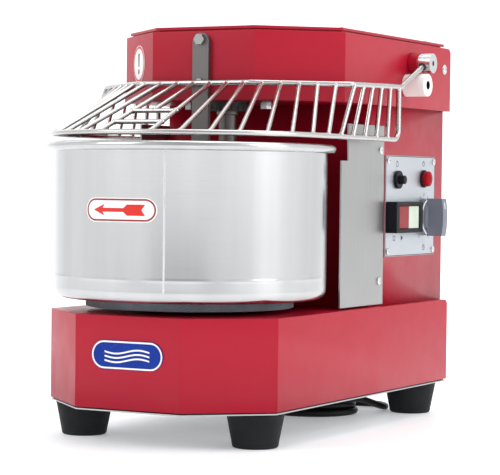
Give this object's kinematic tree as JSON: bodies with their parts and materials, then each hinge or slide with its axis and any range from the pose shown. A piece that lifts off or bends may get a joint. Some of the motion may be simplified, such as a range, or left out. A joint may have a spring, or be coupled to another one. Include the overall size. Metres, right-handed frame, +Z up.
{
  "type": "spiral dough mixer",
  "caption": "Bench-top spiral dough mixer: octagonal painted base and head on a column, turning stainless bowl, coupled spiral, breaker bar and hinged wire guard.",
  "frame": {"origin": "on the bench plane under the feet, midway across the width and midway between the bowl rim's front and the base's rear", "axes": "+Z up, -Y the front where the bowl stands, +X the side with the controls"},
  "size_m": [0.3368, 0.5452, 0.4498],
  "materials": {
    "painted_steel": "semi-gloss powder coat",
    "stainless": "brushed",
    "polished_steel": "polished",
    "guard_wire": "bright",
    "zinc_plate": "satin",
    "fastener": "satin",
    "rubber": "matt",
    "machine_steel": "machined",
    "cast_iron": "painted casting",
    "motor_paint": "satin",
    "panel": "brushed",
    "black_plastic": "moulded",
    "grey_plastic": "moulded",
    "white_nylon": "turned",
    "red_lens": "clear red",
    "red_plastic": "moulded",
    "green_plastic": "moulded",
    "badge_enamel": "enamelled plate",
    "label": "vinyl",
    "cord_rubber": "matt",
    "brass": "nickel plated",
    "contactor_plastic": "moulded"
  },
  "bodies": {
    "root": {"base_shell": "painted_steel", "base_gasket": "rubber", "floor_plate": "zinc_plate", "foot_front_left": "rubber", "foot_front_right": "rubber", "foot_rear_left": "rubber", "foot_rear_right": "rubber", "foot_bolts": "fastener", "column_shell": "painted_steel", "rear_cover": "painted_steel", "cross_head_screws": "fastener", "side_guards": "stainless", "head_shell": "painted_steel", "head_lid": "painted_steel", "drive_plate": "machine_steel", "breaker_bar": "stainless", "hex_bolts": "fastener", "spiral_bearing_housing": "machine_steel", "base_casting": "cast_iron", "shaft_bearings": "machine_steel", "gearbox_housing": "cast_iron", "motor_body": "motor_paint", "motor_fan_cover": "motor_paint", "contactor": "contactor_plastic", "guard_switch": "black_plastic", "spiral_belt": "rubber", "bowl_belt": "rubber", "control_panel": "panel", "reset_bezel": "black_plastic", "lamp_bezel": "black_plastic", "lamp_lens": "red_lens", "switch_housing": "black_plastic", "timer_body": "black_plastic", "pivot_bosses": "painted_steel", "bumpers": "white_nylon", "badge": "badge_enamel", "safety_label": "label", "cable_gland": "black_plastic", "cord_lead": "cord_rubber", "cord_tail": "cord_rubber", "cord_coil": "cord_rubber", "plug_body": "cord_rubber", "plug_pins": "brass"},
    "bowl": {"bowl": "polished_steel", "turntable": "machine_steel", "bowl_pulley": "cast_iron", "direction_label": "label"},
    "spiral": {"spiral_hook": "polished_steel", "spiral_shaft": "machine_steel"},
    "drive": {"drive_shaft": "machine_steel", "drive_gear": "machine_steel"},
    "rotor": {"motor_rotor": "machine_steel"},
    "guard": {"guard_upper_rail": "guard_wire", "guard_lower_rail": "guard_wire", "guard_rods": "guard_wire", "guard_hubs": "stainless"},
    "reset": {"reset_button": "black_plastic"},
    "start": {"start_button": "green_plastic"},
    "stop": {"stop_button": "red_plastic"},
    "timer": {"timer_knob": "grey_plastic"}
  },
  "joints": [
    {"name": "bowl_spin", "type": "hinge", "parent": "root", "child": "bowl", "pos_m": [0, -0.11538, 0.16], "axis": [0, 0, 1], "continuous": true},
    {"name": "spiral_spin", "type": "hinge", "parent": "root", "child": "spiral", "pos_m": [0, -0.03438, 0.38], "axis": [0, 0, 1], "continuous": true},
    {"name": "drive_spin", "type": "hinge", "parent": "root", "child": "drive", "pos_m": [0, 0.10462, 0.385], "axis": [0, 0, 1], "continuous": true},
    {"name": "rotor_spin", "type": "hinge", "parent": "root", "child": "rotor", "pos_m": [0, 0.19462, 0.3], "axis": [0, 0, 1], "continuous": true},
    {"name": "guard_hinge", "type": "hinge", "parent": "root", "child": "guard", "pos_m": [0, 0.15513, 0.4175], "axis": [-1, 0, 0], "range_deg": [0, 75]},
    {"name": "reset_press", "type": "slide", "parent": "root", "child": "reset", "axis": [-1, 0, 0], "range_m": [0, 0.003], "stiffness_N_per_m": 300, "springref_m": -0.002},
    {"name": "start_press", "type": "slide", "parent": "root", "child": "start", "axis": [-1, 0, 0], "range_m": [0, 0.0025], "stiffness_N_per_m": 400, "springref_m": -0.002},
    {"name": "stop_press", "type": "slide", "parent": "root", "child": "stop", "axis": [-1, 0, 0], "range_m": [0, 0.0025], "stiffness_N_per_m": 400, "springref_m": -0.002},
    {"name": "timer_turn", "type": "hinge", "parent": "root", "child": "timer", "pos_m": [0.135, 0.20913, 0.238], "axis": [-1, 0, 0], "range_deg": [0, 300]}
  ],
  "couplings": [
    {"joint": "spiral_spin", "follows": "bowl_spin", "ratio": 3.74},
    {"joint": "drive_spin", "follows": "bowl_spin", "ratio": 5.5},
    {"joint": "rotor_spin", "follows": "bowl_spin", "ratio": -27.5}
  ]
}
